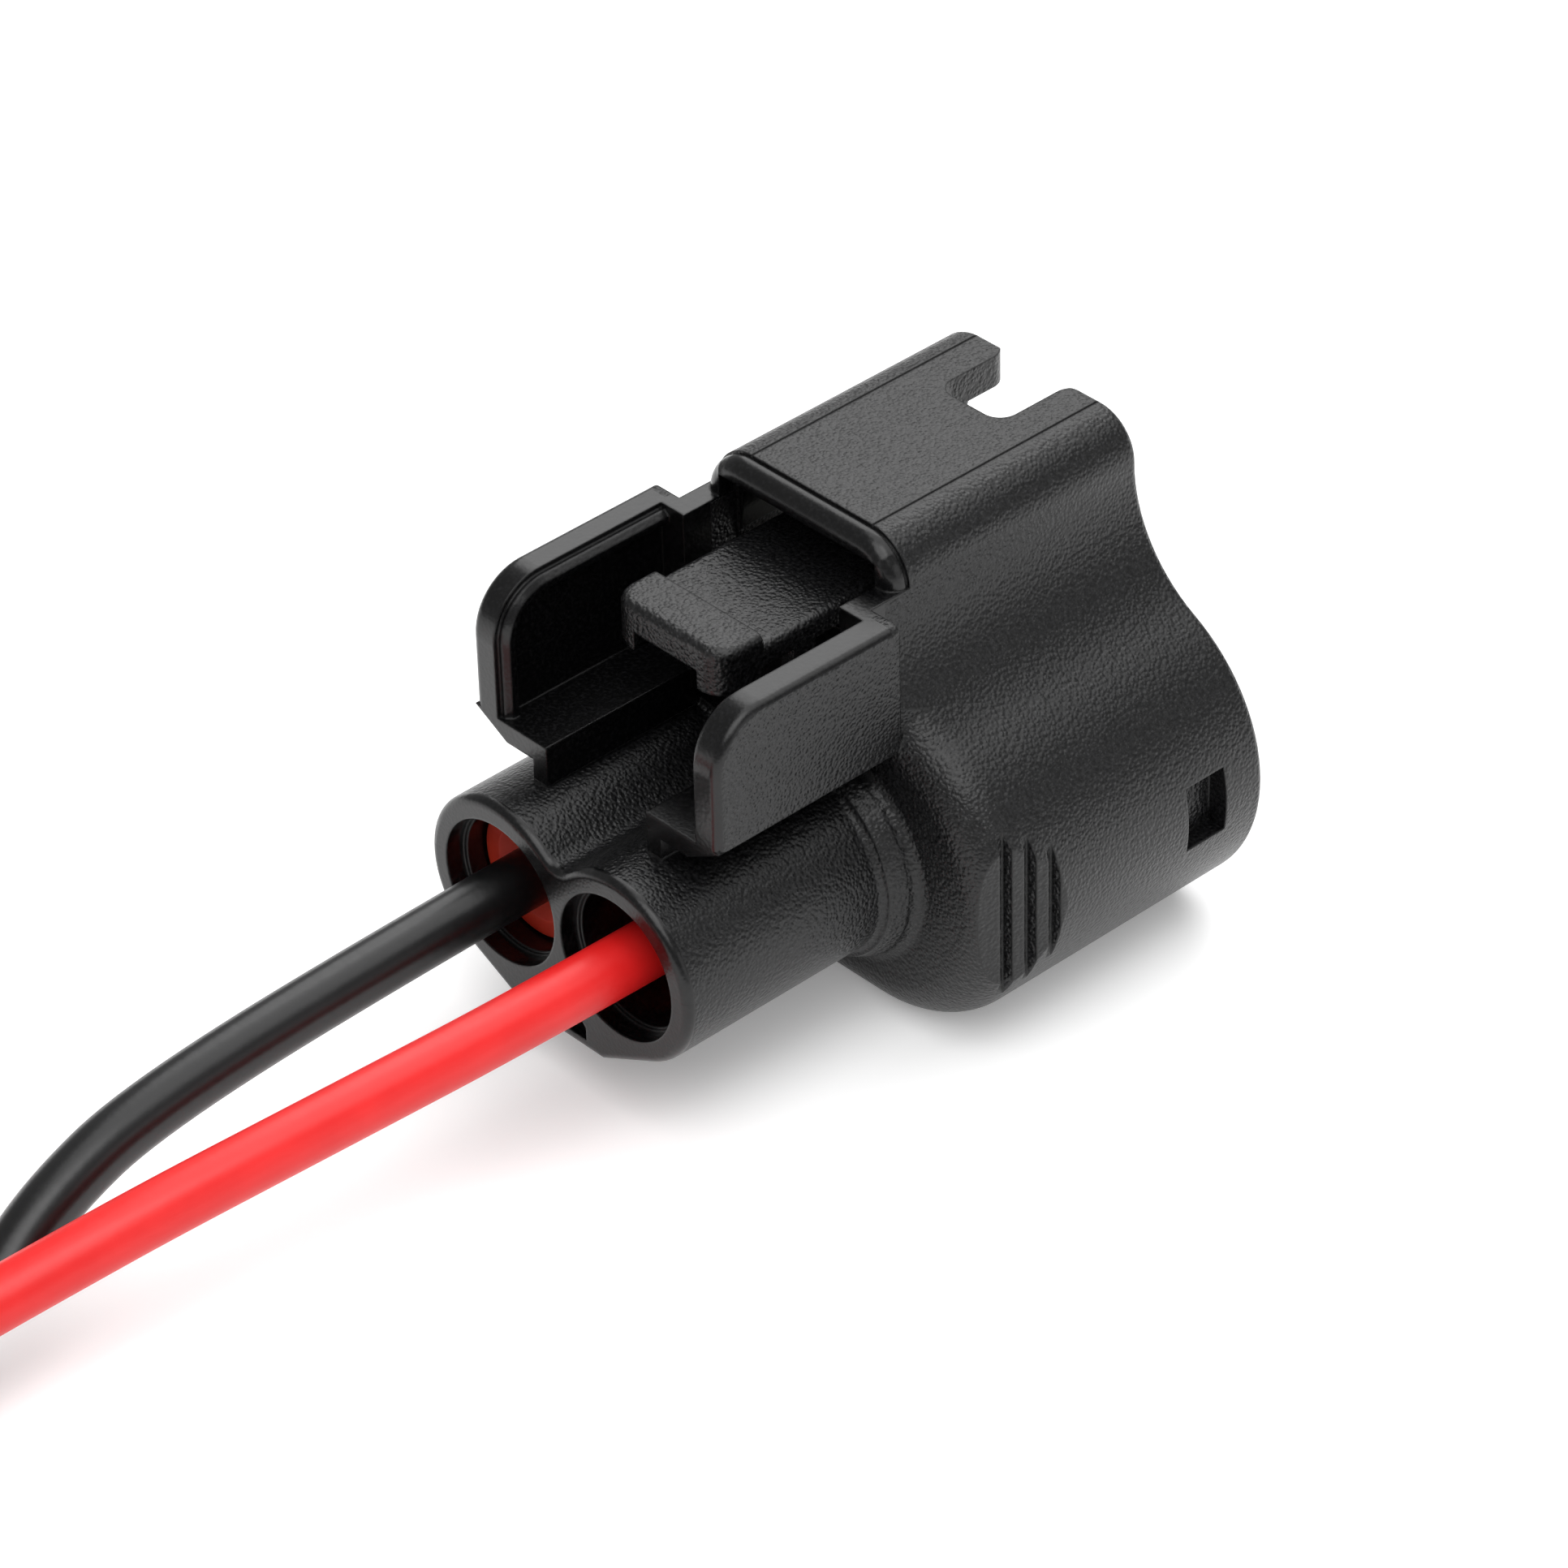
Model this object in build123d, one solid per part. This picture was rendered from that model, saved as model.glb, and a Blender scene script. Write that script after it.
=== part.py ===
from build123d import *
from math import atan2, cos, degrees, radians, sin, sqrt, tan
import os

# Two-way sealed connector plug with two leads, in millimetres.
# X runs across the two bores, +Y points to the mating end and +Z is up.
# The origin is on the resting surface, below the middle of the connector's length.
# The builders below measure y from the barrels' rear face and z from the bores' axes,
# and seat() moves the finished pieces into the frame.

# Whole housing
body_length = 29.4
bore_pitch = 7.5
wire_diameter = 2.7
fit_clearance = 0.1

# Rear barrels
mouth_diameter = 7.1
mouth_depth = 1.0
barrel_wall = 1.05
seal_bore_diameter = 6.6
seal_bore_end = 8.4
crimp_bore_diameter = 5.2
crimp_bore_end = 13.6
barrel_edge_round = 0.4
saddle_radius = 1.1
keel_width = 5.1
keel_drop = 5.75
core_pocket_width = 3.2
core_pocket_bottom = 5.15
core_pocket_side = 0.65
core_pocket_top = 2.6
core_pocket_depth = 6.0

# Mating hood
hood_width = 28.0
hood_radius = 8.0
hood_rear = 12.9
hood_rear_round = 2.1
hood_wall = 1.6
hood_floor = 2.4
hood_rim_round = 0.45
sill_top = 9.2
collar_step = 0.35
collar_cone = 0.35
collar_cone_length = 0.8
collar_fillet = 0.6
roof_height = 15.5
roof_box_width = 12.1
flank_radius = 7.0

# Roof arch behind the hood's roof, the groove before the roof and the roof's seams
arch_rear = 14.5
arch_length = 0.85
arch_inset = 0.1
arch_round = 0.8
arch_wall = 1.05
groove_width = 0.15
groove_depth = 0.2
seam_width = 0.1
seam_depth = 0.1

# Notch in the roof's front edge
notch_width = 3.95
notch_rear = 24.9
notch_corner = 0.95
notch_mouth_round = 1.0

# Square pocket in each side of the hood
pocket_rear = 24.6
pocket_length = 2.4
pocket_height = 3.3
pocket_lift = 0.3
pocket_depth = 1.1

# Finger grips on the hood's sides
grip_depth = 1.45
grip_front = 17.1
grip_groove_count = 3
grip_groove_first = 14.3
grip_groove_pitch = 1.1
grip_groove_width = 0.6
grip_groove_floor = 0.35
grip_groove_depth = 0.4

# Latch guards
guard_rear = 2.55
guard_outer = 7.8
guard_wall = 1.45
guard_top = 13.3
guard_corner = 2.8
guard_edge_round = 0.45
guard_front = 13.2
ledge_top = 6.7
ledge_thickness = 1.0
ledge_inner = 3.2
ledge_leg = 0.9
ledge_corner_width = 2.0
ledge_corner_height = 1.1
step_wall = 0.8
neck_wall = 1.15
cheek_rear_x = 7.6
cheek_front_x = 8.1
bead_inset = 0.25
bead_width = 0.8
bead_height = 0.5

# Latch arm and thumb pad
arm_width = 7.1
arm_top = 12.15
arm_thickness = 1.05
arm_front = 25.4
arm_edge_round = 0.45
hinge_rear = 11.0
hinge_length = 1.2
hinge_width = 0.9
claw_length = 1.6
claw_drop = 1.3
claw_tip = 0.43
pad_rear = 6.75
pad_length = 2.5
pad_rise = 0.55
pad_corner = 1.3
pad_edge_round = 0.45
pad_skirt = 2.3
pad_gap_width = 4.0
pad_gap_height = 0.95

# Inner nose, its cavities and the cap on it
nose_radius = 4.2
nose_reach = 8.8
nose_front = 25.0
cavity_size = 3.8
cap_thickness = 1.6
cap_wall = 0.7
cap_edge_round = 0.4
tab_slot_width = 3.2
tab_slot_height = 1.1
tab_slot_bevel = 0.4

# Interface seal
ring_length = 5.0
ring_wall = 0.75
ring_rib_height = 0.5
ring_rib_width = 0.9
ring_rib_count = 3
ring_rib_chamfer = 0.3

# Wire seals
seal_rear_black = 2.0
seal_rear_red = 4.6
seal_front = 7.8
seal_rib_count = 3
seal_rib_groove = 0.45
seal_rib_shoulder = 0.15
seal_crest = (0.25, 0.45)
seal_root = (0.7, 0.85)
seal_neck_radius = 2.05
seal_neck_length = 2.4
seal_funnel_width = 1.0
seal_funnel_depth = 0.7

# Contacts
sheet = 0.3
contact_gap = 0.15
contact_strip_width = 0.75
insulation_crimp_length = 2.4
crimp_seam = 24.0
core_crimp_length = 3.0
core_crimp_rear = 11.8
contact_box_rear = 16.0
contact_box_length = 2.8
spring_gap = 0.8
spring_width = 2.4
spring_flare = 0.9
sleeve_rear = 17.4
sleeve_window_width = 1.6
sleeve_window_length = 2.0

# Leads
conductor_diameter = 1.5
insulation_front = 10.9
conductor_front = 15.2
stripped_length = 7.0
straight_exit = 2.9
entry_run = 3.9
arc_share = 0.45

# Coils of the leads' put-away length
coil_centre_x = -17.3
coil_centre_y = -64.0
coil_outer_track = 16.5
coil_lift = 0.6
coil_round = 0.8
inner_start = -10.0
inner_end = 150.0

# Tie round both coils
tie_angle = 135.0
tie_width = 3.2
tie_thickness = 0.6
tie_round = 0.48
tie_head = 4.4
tie_head_height = 3.5
tie_head_depth = 3.0
tie_head_bottom = 1.0
tie_tail = 5.0
tie_tail_lift = 1.3

# Sizes worked out from the ones above
spare = 1.0
axis_height = hood_radius
bore_x = bore_pitch / 2
barrel_radius = mouth_diameter / 2 + barrel_wall
wire_radius = wire_diameter / 2
conductor_radius = conductor_diameter / 2
hood_centre = hood_width / 2 - hood_radius
roof_half = roof_box_width / 2
flank_centre_x = roof_half + flank_radius
flank_centre_z = sqrt((hood_radius + flank_radius) ** 2 - (flank_centre_x - hood_centre) ** 2)
roof_corner = roof_height - flank_centre_z
neck_inner = roof_half - neck_wall
arch_front = arch_rear + arch_length
hood_floor_front = hood_rear + hood_floor
nose_centre = nose_reach - nose_radius
cap_radius = nose_radius + fit_clearance + cap_wall
cap_rear = hood_floor_front + ring_length + fit_clearance
cap_front = nose_front + cap_thickness
arm_half = arm_width / 2
arm_bottom = arm_top - arm_thickness
pad_top = arm_top + pad_rise
pad_bottom = pad_top - pad_skirt
sleeve_outer = cavity_size - 2 * contact_gap
contact_box_size = sleeve_outer - 2 * sheet
coil_inner_track = coil_outer_track - wire_diameter
stub_length = 2 * sqrt(coil_outer_track * wire_radius) + fit_clearance


def prism(sketch, y_from, y_to):
    """Extrude an X-Z sketch along Y."""
    start = Plane(origin=(0, y_from, 0), x_dir=(1, 0, 0), z_dir=(0, -1, 0))
    return extrude(start * sketch, amount=y_to - y_from, dir=(0, 1, 0))


def block(x_range, y_range, z_range):
    """Box between two limits on each axis."""
    size = [high - low for low, high in (x_range, y_range, z_range)]
    middle = [(low + high) / 2 for low, high in (x_range, y_range, z_range)]
    return Pos(*middle) * Box(*size)


def both_sides(solid):
    """The solid and its mirror image across the middle plane."""
    return solid + mirror(solid, about=Plane.YZ)


def at_bores(sketch):
    """The X-Z sketch repeated on both bores."""
    return Pos(-bore_x, 0) * sketch + Pos(bore_x, 0) * sketch


def edges_at(solid, y):
    """Edges that lie in the plane across Y at the given depth."""
    return solid.edges().filter_by_position(Axis.Y, y - 0.001, y + 0.001)


def revolve_on_axis(profile_points):
    """Turn a profile of (radius, y) points about the Y axis."""
    face = make_face(Polyline(*profile_points, close=True))
    return revolve(face, axis=Axis.Y)


# Rear barrels

def keel_tangent():
    """Where the keel's slanting side meets the barrel, on the right."""
    away = Vector(keel_width / 2 - bore_x, -keel_drop)
    spread = degrees(atan2(sqrt(away.length ** 2 - barrel_radius ** 2), barrel_radius))
    angle = radians(degrees(atan2(away.Y, away.X)) + spread)
    return bore_x + barrel_radius * cos(angle), barrel_radius * sin(angle)


def barrel_section():
    """Outline of both barrels, with the saddle on top and the keel below."""
    side_x, side_z = keel_tangent()
    keel = make_face(Polyline(
        (-keel_width / 2, -keel_drop),
        (keel_width / 2, -keel_drop),
        (side_x, side_z),
        (bore_x, 0),
        (-bore_x, 0),
        (-side_x, side_z),
        close=True,
    ))
    outline = at_bores(Circle(barrel_radius)) + keel
    saddle = outline.vertices().sort_by(lambda corner: abs(corner.X) - corner.Y)[0]
    return fillet(saddle, saddle_radius)


def barrels():
    body = prism(barrel_section(), 0, hood_rear + spare)
    body = fillet(edges_at(body, 0), barrel_edge_round)
    collar = make_collar()
    collars = Pos(-bore_x, 0, 0) * collar + Pos(bore_x, 0, 0) * collar
    return body + collars


def make_collar():
    """Collar where a barrel enters the hood: a rounded step, a cone and a hollow fillet."""
    step_r = barrel_radius + collar_step
    cone_r = step_r + collar_cone
    cone_front = hood_rear - collar_fillet
    cone_rear = cone_front - collar_cone_length
    step_rear = cone_rear - collar_step
    outline = [
        Line((0, step_rear), (barrel_radius, step_rear)),
        RadiusArc((barrel_radius, step_rear), (step_r, cone_rear), collar_step),
        Line((step_r, cone_rear), (cone_r, cone_front)),
        RadiusArc((cone_r, cone_front), (cone_r + collar_fillet, hood_rear), collar_fillet),
        Line((cone_r + collar_fillet, hood_rear), (0, hood_rear)),
        Line((0, hood_rear), (0, step_rear)),
    ]
    return revolve(make_face(outline), axis=Axis.Y)


def barrel_cuts():
    """Mouths, seal bores, crimp bores and the pocket in the web below."""
    cuts = prism(at_bores(Circle(mouth_diameter / 2)), -spare, mouth_depth)
    cuts += prism(at_bores(Circle(seal_bore_diameter / 2)), 0, seal_bore_end)
    cuts += prism(at_bores(Circle(crimp_bore_diameter / 2)), 0, crimp_bore_end)
    half = core_pocket_width / 2
    pocket = make_face(Polyline(
        (-half, -core_pocket_bottom),
        (half, -core_pocket_bottom),
        (half, -core_pocket_bottom + core_pocket_side),
        (0, -core_pocket_top),
        (-half, -core_pocket_bottom + core_pocket_side),
        close=True,
    ))
    return cuts + prism(pocket, -spare, core_pocket_depth)


# Mating hood

def hood_section():
    """Flat roof on hollow flanks that sweep out into the wide rounded lower body."""
    meet = degrees(atan2(flank_centre_z, flank_centre_x - hood_centre))
    half = [
        Line((0, roof_height), (roof_half - roof_corner, roof_height)),
        CenterArc((roof_half - roof_corner, roof_height - roof_corner), roof_corner, 0, 90),
        CenterArc((flank_centre_x, flank_centre_z), flank_radius, 180, meet),
        CenterArc((hood_centre, 0), hood_radius, -90, 90 + meet),
        Line((hood_centre, -hood_radius), (0, -hood_radius)),
    ]
    half_face = make_face(half + [Line((0, -hood_radius), (0, roof_height))])
    return half_face + mirror(half_face, about=Plane.YZ)


def hood_inside():
    return offset(hood_section(), amount=-hood_wall)


def above(sketch, z):
    """The part of an X-Z sketch that lies above a height."""
    reach = 2 * hood_width
    return sketch & (Pos(0, z + reach / 2) * Rectangle(reach, reach))


def hood_body():
    body = prism(hood_section(), hood_rear, body_length)
    body = fillet(edges_at(body, hood_rear), hood_rear_round)
    return fillet(edges_at(body, body_length), hood_rim_round)


def roof_arch():
    """Rear edge of the roof, a rounded arch on the neck walls, and the core of the groove before the roof."""
    outline = offset(hood_section(), amount=-arch_inset)
    opening = Rectangle(2 * neck_inner, 2 * (roof_height - arch_wall))
    arch = prism(above(outline, guard_top) - opening, arch_rear, arch_front)
    outer = edges_at(arch, arch_rear).filter_by(GeomType.LINE, reverse=True)
    top = edges_at(arch, arch_rear).sort_by(Axis.Z)[-1]
    arch = fillet(outer + [top], arch_round)
    core = above(offset(hood_section(), amount=-groove_depth), guard_top) - opening
    return arch + prism(core, arch_front, arch_front + groove_width + hood_wall)


def roof_seams():
    """Fine seams along both sides of the roof."""
    seam_x = roof_half - roof_corner
    seam = Pos(seam_x, roof_height) * Rectangle(seam_width, 2 * seam_depth)
    return both_sides(prism(seam, arch_front, body_length + spare))


def hood_cuts():
    """Inside of the hood, the latch channel and the space behind the roof."""
    reach = hood_width
    roof_rear = arch_front + groove_width
    cuts = prism(hood_inside(), hood_floor_front, body_length + spare)
    cuts += prism(above(hood_inside(), sill_top), hood_rear - spare, body_length)
    cuts += block((-neck_inner, neck_inner), (hood_rear - spare, roof_rear), (sill_top, roof_height + spare))
    cuts += block((-reach, reach), (hood_rear - spare, roof_rear), (guard_top, roof_height + spare))
    return cuts


def notch_cut():
    """U-shaped notch in the roof's front edge, with rounded corners."""
    half = notch_width / 2
    slot = make_face(Polyline(
        (-half, notch_rear),
        (half, notch_rear),
        (half, body_length + spare),
        (-half, body_length + spare),
        close=True,
    ))
    slot = fillet(slot.vertices().sort_by(Axis.Y)[:2], notch_corner)
    flare = make_face(Polyline(
        (half, body_length - notch_mouth_round),
        (half, body_length),
        (half + notch_mouth_round, body_length),
        close=True,
    ))
    round_centre = Pos(half + notch_mouth_round, body_length - notch_mouth_round)
    corner = flare - round_centre * Circle(notch_mouth_round)
    slot = slot + corner + mirror(corner, about=Plane.YZ)
    return extrude(Pos(0, 0, arm_top) * slot, amount=roof_height)


def pocket_cut():
    """Square pocket in the right side of the hood."""
    side = hood_width / 2
    low = pocket_lift - pocket_height / 2
    return block(
        (side - pocket_depth, side + spare),
        (pocket_rear, pocket_rear + pocket_length),
        (low, low + pocket_height),
    )


def grip_line_x(y):
    """Depth of the right grip's slanting face at a given y."""
    rise = grip_depth / (grip_front - hood_rear)
    return hood_width / 2 - (grip_front - y) * rise


def grip_cut():
    """Slanting face on the hood's right side with tapered upright grooves."""
    outside = hood_width / 2 + spare
    face = make_face(Polyline(
        (grip_line_x(hood_rear - spare), hood_rear - spare),
        (outside, hood_rear - spare),
        (outside, grip_front),
        (grip_line_x(grip_front), grip_front),
        close=True,
    ))
    outline = face
    for number in range(grip_groove_count):
        outline += groove_face(grip_groove_first + number * grip_groove_pitch)
    return extrude(Pos(0, 0, -hood_radius) * outline, amount=2 * hood_radius)


def groove_face(y):
    """Plan of one grip groove, narrower at its floor."""
    outside = hood_width / 2 + spare
    floor_x = grip_line_x(y) - grip_groove_depth
    return make_face(Polyline(
        (floor_x, y - grip_groove_floor / 2),
        (grip_line_x(y), y - grip_groove_width / 2),
        (outside, y - grip_groove_width / 2),
        (outside, y + grip_groove_width / 2),
        (grip_line_x(y), y + grip_groove_width / 2),
        (floor_x, y + grip_groove_floor / 2),
        close=True,
    ))


# Latch guards

def ledge_section():
    """Leg, ledge and slanting outer corner of the right guard, with the foot of its wall."""
    bottom = ledge_top - ledge_thickness
    wall_x = guard_outer - guard_wall
    return make_face(Polyline(
        (ledge_inner, 0),
        (ledge_inner + ledge_leg, 0),
        (ledge_inner + ledge_leg, bottom),
        (guard_outer - ledge_corner_width, bottom),
        (guard_outer, bottom + ledge_corner_height),
        (wall_x, bottom + ledge_corner_height),
        (wall_x, ledge_top),
        (ledge_inner, ledge_top),
        close=True,
    ))


def wall_face(bottom, front):
    """Side view of the guard wall, y across and z up, with its rounded rear corner."""
    face = make_face(Polyline(
        (guard_rear, bottom),
        (front, bottom),
        (front, guard_top),
        (guard_rear, guard_top),
        close=True,
    ))
    corner = face.vertices().sort_by(lambda point: point.Y - point.X)[-1]
    return fillet(corner, guard_corner)


def guard_wall_solid():
    inner_x = guard_outer - guard_wall
    face = wall_face(ledge_top - ledge_thickness + ledge_corner_height, guard_front)
    wall = extrude(Plane.YZ.offset(inner_x) * face, amount=guard_wall)
    outer = wall.faces().sort_by(Axis.X)[-1].edges()
    rounded = outer.sort_by(lambda edge: edge.center().Y - edge.center().Z)[:3]
    return fillet(rounded, guard_edge_round)


def guard_bead():
    """Rounded rib inside the wall, along its rear and top edges."""
    inner_x = guard_outer - guard_wall
    bottom = ledge_top - ledge_thickness / 2
    full = wall_face(bottom - 2 * guard_corner, guard_front + 2 * guard_corner)
    band = offset(full, amount=-bead_inset) - offset(full, amount=-bead_inset - bead_width)
    keep = make_face(Polyline(
        (0, bottom),
        (guard_front, bottom),
        (guard_front, guard_top),
        (0, guard_top),
        close=True,
    ))
    rib = extrude(Plane.YZ.offset(inner_x - bead_height) * (band & keep), amount=bead_height + fit_clearance)
    crown = rib.faces().sort_by(Axis.X)[0].edges()
    return chamfer(crown, bead_height / 2)


def flank_cheek():
    """Square rear edge of the hood's flank in front of the guard, which slants out to the hood's side."""
    front = hood_rear + hood_rear_round + fit_clearance
    plan = make_face(Polyline(
        (neck_inner, hood_rear),
        (cheek_rear_x, hood_rear),
        (cheek_rear_x, guard_front),
        (cheek_front_x, front),
        (neck_inner, front),
        close=True,
    ))
    bottom = ledge_top - fit_clearance
    keep = extrude(Pos(0, 0, bottom) * plan, amount=guard_top - bottom)
    return prism(hood_section(), hood_rear - spare, front + spare) & keep


def guard():
    """Right guard: ledge on its leg, side wall, step wall, neck wall, cheek and rib."""
    ledge = prism(ledge_section(), guard_rear, hood_floor_front)
    step = block(
        (neck_inner, guard_outer - guard_edge_round),
        (guard_front - step_wall, guard_front),
        (ledge_top - fit_clearance, guard_top),
    )
    neck = block(
        (neck_inner, roof_half),
        (guard_front - step_wall, arch_front),
        (ledge_top - fit_clearance, guard_top),
    )
    return ledge + step + neck + guard_wall_solid() + flank_cheek() + guard_bead()


# Latch

def latch_arm():
    """Flat arm on two hinge webs, with the claw that locks the mating part."""
    arm = block((-arm_half, arm_half), (pad_rear + pad_length / 2, arm_front), (arm_bottom, arm_top))
    long_edges = arm.edges().filter_by(Axis.Y).sort_by(Axis.Z)[-2:]
    arm = fillet(long_edges, arm_edge_round)
    claw = make_face(Polyline(
        (arm_front - claw_length, arm_bottom),
        (arm_front - claw_length, arm_bottom - claw_drop),
        (arm_front, arm_bottom - claw_tip),
        (arm_front, arm_bottom + arm_thickness / 2),
        (arm_front - claw_length, arm_bottom + arm_thickness / 2),
        close=True,
    ))
    claw = extrude(Plane.YZ.offset(-arm_half) * claw, amount=arm_width)
    webs = block(
        (arm_half - hinge_width, arm_half),
        (hinge_rear, hinge_rear + hinge_length),
        (ledge_top - ledge_thickness, arm_bottom + arm_thickness / 2),
    )
    return arm + claw + both_sides(webs)


def thumb_pad():
    """Raised pad at the arm's rear end, with a skirt that is open underneath."""
    half = arm_half
    plan = make_face(Polyline(
        (-half, pad_rear),
        (half, pad_rear),
        (half, pad_rear + pad_length),
        (-half, pad_rear + pad_length),
        close=True,
    ))
    plan = fillet(plan.vertices().sort_by(Axis.Y)[:2], pad_corner)
    pad = extrude(Pos(0, 0, pad_bottom) * plan, amount=pad_skirt)
    crown = pad.faces().sort_by(Axis.Z)[-1].edges().sort_by(Axis.Y)[:-1]
    pad = fillet(crown, pad_edge_round)
    gap = block(
        (-pad_gap_width / 2, pad_gap_width / 2),
        (pad_rear - spare, pad_rear + pad_length + spare),
        (pad_bottom - spare, pad_bottom + pad_gap_height),
    )
    return pad - gap


# Inner nose

def nose():
    return prism(SlotCenterToCenter(2 * nose_centre, 2 * nose_radius), hood_rear, nose_front)


def nose_cuts():
    return prism(at_bores(Rectangle(cavity_size, cavity_size)), crimp_bore_end - spare, nose_front + spare)


def make_housing():
    shell = barrels() + hood_body() + both_sides(guard())
    shell -= hood_cuts()
    shell += both_sides(guard())
    shell += roof_arch() + nose() + latch_arm() + thumb_pad()
    shell -= barrel_cuts() + nose_cuts()
    shell -= roof_seams()
    shell -= notch_cut()
    shell -= both_sides(pocket_cut())
    shell -= both_sides(grip_cut())
    return shell


# Pieces inside the housing

def make_retainer():
    """Cap over the nose's front, with a flared slot for each contact blade."""
    outline = SlotCenterToCenter(2 * nose_centre, 2 * cap_radius)
    cap = prism(outline, cap_rear, cap_front)
    cap = fillet(edges_at(cap, cap_front), cap_edge_round)
    nose_room = SlotCenterToCenter(2 * nose_centre, 2 * (nose_radius + fit_clearance))
    cap -= prism(nose_room, cap_rear - spare, nose_front)
    for side in (-1, 1):
        cap -= tab_slot(side * bore_x)
    return cap


def tab_slot(x):
    narrow = Rectangle(tab_slot_width, tab_slot_height)
    slot = prism(Pos(x, 0) * narrow, nose_front - spare, cap_front + spare)
    wide = Rectangle(tab_slot_width + 2 * tab_slot_bevel, tab_slot_height + 2 * tab_slot_bevel)
    mouth = prism(Pos(x, 0) * wide, cap_front - tab_slot_bevel, cap_front + spare)
    return slot + mouth


def make_interface_seal():
    """Silicone ring on the nose, with raised ribs."""
    base_radius = nose_radius + ring_wall
    front = hood_floor_front + ring_length
    ring = prism(SlotCenterToCenter(2 * nose_centre, 2 * base_radius), hood_floor_front, front)
    pitch = (ring_length - ring_rib_width) / (ring_rib_count - 1)
    for number in range(ring_rib_count):
        start = hood_floor_front + number * pitch
        crest = SlotCenterToCenter(2 * nose_centre, 2 * (base_radius + ring_rib_height))
        rib = prism(crest, start, start + ring_rib_width)
        ring += chamfer(edges_at(rib, start) + edges_at(rib, start + ring_rib_width), ring_rib_chamfer)
    return ring - prism(SlotCenterToCenter(2 * nose_centre, 2 * nose_radius), hood_rear, front + spare)


def seal_profile(seal_rear):
    """Half section of a wire seal: ribs, funnel at the rear and the neck in front."""
    outer = seal_bore_diameter / 2
    pitch = (seal_front - seal_rear) / seal_rib_count
    points = [(wire_radius + seal_funnel_width, seal_rear)]
    for number in range(seal_rib_count):
        start = seal_rear + number * pitch
        points.append((outer - seal_rib_shoulder, start))
        points += [(outer, start + pitch * share) for share in seal_crest]
        points += [(outer - seal_rib_groove, start + pitch * share) for share in seal_root]
    points.append((outer - seal_rib_groove, seal_front))
    points.append((seal_neck_radius, seal_front))
    points.append((seal_neck_radius, seal_front + seal_neck_length))
    points.append((wire_radius, seal_front + seal_neck_length))
    points.append((wire_radius, seal_rear + seal_funnel_depth))
    return points


def make_wire_seal(x, seal_rear):
    return Pos(x, 0, 0) * revolve_on_axis(seal_profile(seal_rear))


def arc_strip(radius, opening):
    """Bent strip section of the sheet's thickness, open at the top."""
    ring = Circle(radius + sheet) - Circle(radius)
    gap = Pos(0, radius) * Rectangle(2 * radius * sin(radians(opening / 2)), 2 * radius)
    return ring - gap


def make_contact(x):
    """Folded contact: insulation crimp on the seal's neck, core crimp, box and springs."""
    crimp_rear = seal_front + contact_gap
    crimp_front = crimp_rear + insulation_crimp_length
    core_front = core_crimp_rear + core_crimp_length
    body = prism(arc_strip(seal_neck_radius, crimp_seam), crimp_rear, crimp_front)
    body += prism(arc_strip(conductor_radius, crimp_seam), core_crimp_rear, core_front)
    low = -seal_neck_radius - sheet
    middle = -conductor_radius - sheet
    floor = -contact_box_size / 2
    strip = make_face(Polyline(
        (crimp_front - sheet, low),
        (crimp_front, low),
        (core_crimp_rear, middle),
        (core_front, middle),
        (contact_box_rear, floor),
        (contact_box_rear + sheet, floor),
        (contact_box_rear + sheet, floor + sheet),
        (contact_box_rear, floor + sheet),
        (core_front, middle + sheet),
        (core_crimp_rear, middle + sheet),
        (crimp_front, low + sheet),
        (crimp_front - sheet, low + sheet),
        close=True,
    ))
    body += extrude(Plane.YZ.offset(-contact_strip_width / 2) * strip, amount=contact_strip_width)
    body += contact_box()
    return Pos(x, 0, 0) * body


def contact_box():
    """Base box of the contact with its two spring arms."""
    size = contact_box_size
    tube = Rectangle(size, size) - Rectangle(size - 2 * sheet, size - 2 * sheet)
    root = contact_box_rear + contact_box_length
    box = prism(tube, contact_box_rear, root)
    front = nose_front - 2 * contact_gap
    pinch = front - spring_flare
    arm = make_face(Polyline(
        (root - sheet, size / 2 - sheet),
        (root - sheet, size / 2),
        (root, size / 2),
        (pinch, spring_gap / 2 + sheet),
        (front, spring_gap / 2 + 2 * sheet),
        (front, spring_gap / 2 + sheet),
        (pinch, spring_gap / 2),
        (root, size / 2 - sheet),
        close=True,
    ))
    arm = extrude(Plane.YZ.offset(-spring_width / 2) * arm, amount=spring_width)
    return box + arm + mirror(arm, about=Plane.XY)


def make_sleeve(x):
    """Steel sleeve that slides over the springs and backs them."""
    section = Rectangle(sleeve_outer, sleeve_outer) - Rectangle(contact_box_size, contact_box_size)
    sleeve = prism(section, sleeve_rear, nose_front - contact_gap)
    middle = (contact_box_rear + contact_box_length + nose_front) / 2
    window = block(
        (-sleeve_window_width / 2, sleeve_window_width / 2),
        (middle - sleeve_window_length / 2, middle + sleeve_window_length / 2),
        (0, sleeve_outer),
    )
    return Pos(x, 0, 0) * (sleeve - window)


def make_conductor(x):
    """Stripped strands in the crimp."""
    return prism(Pos(x, 0) * Circle(conductor_radius), insulation_front, conductor_front)


# Leads, in the finished frame

def lead_route(x, bends, layer):
    """Points of a lead: straight out of its bore, down in gentle bends and level into its coil."""
    rear = -body_length / 2
    entry_x = coil_centre_x + coil_outer_track
    entry_y = coil_centre_y + stub_length
    level = coil_level(layer)
    start = [(x, rear + insulation_front, axis_height), (x, rear - straight_exit, axis_height)]
    return start + bends + [(entry_x, entry_y + entry_run, level), (entry_x, entry_y, level)]


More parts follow.
